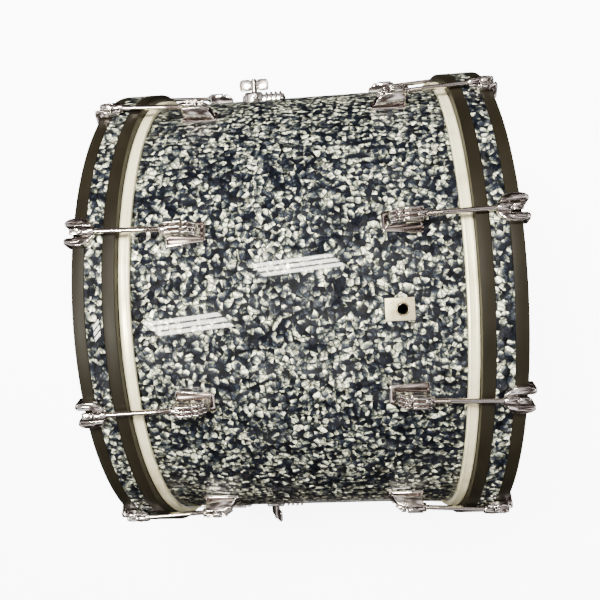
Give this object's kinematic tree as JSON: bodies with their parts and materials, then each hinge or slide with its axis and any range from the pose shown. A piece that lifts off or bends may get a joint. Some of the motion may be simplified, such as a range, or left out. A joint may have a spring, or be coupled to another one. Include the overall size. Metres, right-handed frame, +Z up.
{
  "type": "bass drum",
  "caption": "Bass drum on its side: pearl-wrapped shell with vented badge, two inlaid hoops with claws, lugs, tension rods, two heads and a pair of sliding spurs.",
  "frame": {"origin": "on the floor, below the middle of the drum", "axes": "+X along the drum axis towards the batter head, +Y towards the spur named right, +Z up through the badge"},
  "size_m": [0.4588, 0.6974, 0.5892],
  "materials": {
    "pearl_wrap": "glossy dark blue-black pearl wrap with grey and cream flakes",
    "pearl_inlay": "glossy grey pearl strip",
    "black_lacquer": "satin black lacquer on wood",
    "head_film": "plain coated white drumhead",
    "flesh_hoop_metal": "satin rolled aluminium",
    "cast_chrome": "polished chrome on die casting",
    "plated_steel": "bright plated steel",
    "badge_brass": "plain brushed brass plate",
    "vent_chrome": "polished chrome ring",
    "black_rubber": "matt black rubber"
  },
  "bodies": {
    "drum": {"shell": "pearl_wrap", "front_head": "head_film", "front_flesh_hoop": "flesh_hoop_metal", "front_hoop": "black_lacquer", "front_hoop_inlay": "pearl_inlay", "front_lug_01": "cast_chrome", "front_lug_02": "cast_chrome", "front_lug_03": "cast_chrome", "front_lug_04": "cast_chrome", "front_lug_05": "cast_chrome", "front_lug_06": "cast_chrome", "front_lug_07": "cast_chrome", "front_lug_08": "cast_chrome", "front_lug_09": "cast_chrome", "front_lug_10": "cast_chrome", "batter_head": "head_film", "batter_flesh_hoop": "flesh_hoop_metal", "batter_hoop": "black_lacquer", "batter_hoop_inlay": "pearl_inlay", "batter_lug_01": "cast_chrome", "batter_lug_02": "cast_chrome", "batter_lug_03": "cast_chrome", "batter_lug_04": "cast_chrome", "batter_lug_05": "cast_chrome", "batter_lug_06": "cast_chrome", "batter_lug_07": "cast_chrome", "batter_lug_08": "cast_chrome", "batter_lug_09": "cast_chrome", "batter_lug_10": "cast_chrome", "badge": "badge_brass", "vent_grommet": "vent_chrome", "left_spur_bracket": "cast_chrome", "right_spur_bracket": "cast_chrome"},
    "front_rod_01": {"front_tension_rod_01": "plated_steel"},
    "front_rod_02": {"front_tension_rod_02": "plated_steel"},
    "front_rod_03": {"front_tension_rod_03": "plated_steel"},
    "front_rod_04": {"front_tension_rod_04": "plated_steel"},
    "front_rod_05": {"front_tension_rod_05": "plated_steel"},
    "front_rod_06": {"front_tension_rod_06": "plated_steel"},
    "front_rod_07": {"front_tension_rod_07": "plated_steel"},
    "front_rod_08": {"front_tension_rod_08": "plated_steel"},
    "front_rod_09": {"front_tension_rod_09": "plated_steel"},
    "front_rod_10": {"front_tension_rod_10": "plated_steel"},
    "batter_rod_01": {"batter_tension_rod_01": "plated_steel"},
    "batter_rod_02": {"batter_tension_rod_02": "plated_steel"},
    "batter_rod_03": {"batter_tension_rod_03": "plated_steel"},
    "batter_rod_04": {"batter_tension_rod_04": "plated_steel"},
    "batter_rod_05": {"batter_tension_rod_05": "plated_steel"},
    "batter_rod_06": {"batter_tension_rod_06": "plated_steel"},
    "batter_rod_07": {"batter_tension_rod_07": "plated_steel"},
    "batter_rod_08": {"batter_tension_rod_08": "plated_steel"},
    "batter_rod_09": {"batter_tension_rod_09": "plated_steel"},
    "batter_rod_10": {"batter_tension_rod_10": "plated_steel"},
    "left_spur": {"left_spur_leg": "plated_steel", "left_spur_foot": "black_rubber"},
    "left_wing_bolt": {"left_spur_wing_bolt": "plated_steel"},
    "right_spur": {"right_spur_leg": "plated_steel", "right_spur_foot": "black_rubber"},
    "right_wing_bolt": {"right_spur_wing_bolt": "plated_steel"}
  },
  "joints": [
    {"name": "front_rod_turn_01", "type": "hinge", "parent": "drum", "child": "front_rod_01", "pos_m": [-0.107, 0.09117, 0.57517], "axis": [-0.9985, 0.0168, 0.0517], "continuous": true},
    {"name": "front_rod_turn_02", "type": "hinge", "parent": "drum", "child": "front_rod_02", "pos_m": [-0.107, 0.23867, 0.468], "axis": [-0.9985, 0.044, 0.032], "continuous": true},
    {"name": "front_rod_turn_03", "type": "hinge", "parent": "drum", "child": "front_rod_03", "pos_m": [-0.107, 0.29502, 0.2946], "axis": [-0.9985, 0.0544, 0], "continuous": true},
    {"name": "front_rod_turn_04", "type": "hinge", "parent": "drum", "child": "front_rod_04", "pos_m": [-0.107, 0.23867, 0.12119], "axis": [-0.9985, 0.044, -0.032], "continuous": true},
    {"name": "front_rod_turn_05", "type": "hinge", "parent": "drum", "child": "front_rod_05", "pos_m": [-0.107, 0.09117, 0.01402], "axis": [-0.9985, 0.0168, -0.0517], "continuous": true},
    {"name": "front_rod_turn_06", "type": "hinge", "parent": "drum", "child": "front_rod_06", "pos_m": [-0.107, -0.09117, 0.01402], "axis": [-0.9985, -0.0168, -0.0517], "continuous": true},
    {"name": "front_rod_turn_07", "type": "hinge", "parent": "drum", "child": "front_rod_07", "pos_m": [-0.107, -0.23867, 0.12119], "axis": [-0.9985, -0.044, -0.032], "continuous": true},
    {"name": "front_rod_turn_08", "type": "hinge", "parent": "drum", "child": "front_rod_08", "pos_m": [-0.107, -0.29502, 0.2946], "axis": [-0.9985, -0.0544, 0], "continuous": true},
    {"name": "front_rod_turn_09", "type": "hinge", "parent": "drum", "child": "front_rod_09", "pos_m": [-0.107, -0.23867, 0.468], "axis": [-0.9985, -0.044, 0.032], "continuous": true},
    {"name": "front_rod_turn_10", "type": "hinge", "parent": "drum", "child": "front_rod_10", "pos_m": [-0.107, -0.09117, 0.57517], "axis": [-0.9985, -0.0168, 0.0517], "continuous": true},
    {"name": "batter_rod_turn_01", "type": "hinge", "parent": "drum", "child": "batter_rod_01", "pos_m": [0.107, 0.09117, 0.57517], "axis": [0.9985, 0.0168, 0.0517], "continuous": true},
    {"name": "batter_rod_turn_02", "type": "hinge", "parent": "drum", "child": "batter_rod_02", "pos_m": [0.107, 0.23867, 0.468], "axis": [0.9985, 0.044, 0.032], "continuous": true},
    {"name": "batter_rod_turn_03", "type": "hinge", "parent": "drum", "child": "batter_rod_03", "pos_m": [0.107, 0.29502, 0.2946], "axis": [0.9985, 0.0544, 0], "continuous": true},
    {"name": "batter_rod_turn_04", "type": "hinge", "parent": "drum", "child": "batter_rod_04", "pos_m": [0.107, 0.23867, 0.12119], "axis": [0.9985, 0.044, -0.032], "continuous": true},
    {"name": "batter_rod_turn_05", "type": "hinge", "parent": "drum", "child": "batter_rod_05", "pos_m": [0.107, 0.09117, 0.01402], "axis": [0.9985, 0.0168, -0.0517], "continuous": true},
    {"name": "batter_rod_turn_06", "type": "hinge", "parent": "drum", "child": "batter_rod_06", "pos_m": [0.107, -0.09117, 0.01402], "axis": [0.9985, -0.0168, -0.0517], "continuous": true},
    {"name": "batter_rod_turn_07", "type": "hinge", "parent": "drum", "child": "batter_rod_07", "pos_m": [0.107, -0.23867, 0.12119], "axis": [0.9985, -0.044, -0.032], "continuous": true},
    {"name": "batter_rod_turn_08", "type": "hinge", "parent": "drum", "child": "batter_rod_08", "pos_m": [0.107, -0.29502, 0.2946], "axis": [0.9985, -0.0544, 0], "continuous": true},
    {"name": "batter_rod_turn_09", "type": "hinge", "parent": "drum", "child": "batter_rod_09", "pos_m": [0.107, -0.23867, 0.468], "axis": [0.9985, -0.044, 0.032], "continuous": true},
    {"name": "batter_rod_turn_10", "type": "hinge", "parent": "drum", "child": "batter_rod_10", "pos_m": [0.107, -0.09117, 0.57517], "axis": [0.9985, -0.0168, 0.0517], "continuous": true},
    {"name": "left_spur_slide", "type": "slide", "parent": "drum", "child": "left_spur", "axis": [0.284, 0.1515, 0.9468], "range_m": [0, 0.12]},
    {"name": "left_wing_bolt_turn", "type": "hinge", "parent": "drum", "child": "left_wing_bolt", "pos_m": [-0.0655, -0.29052, 0.2946], "axis": [0, -1, 0], "continuous": true},
    {"name": "right_spur_slide", "type": "slide", "parent": "drum", "child": "right_spur", "axis": [0.284, -0.1515, 0.9468], "range_m": [0, 0.12]},
    {"name": "right_wing_bolt_turn", "type": "hinge", "parent": "drum", "child": "right_wing_bolt", "pos_m": [-0.0655, 0.29052, 0.2946], "axis": [0, 1, 0], "continuous": true}
  ]
}
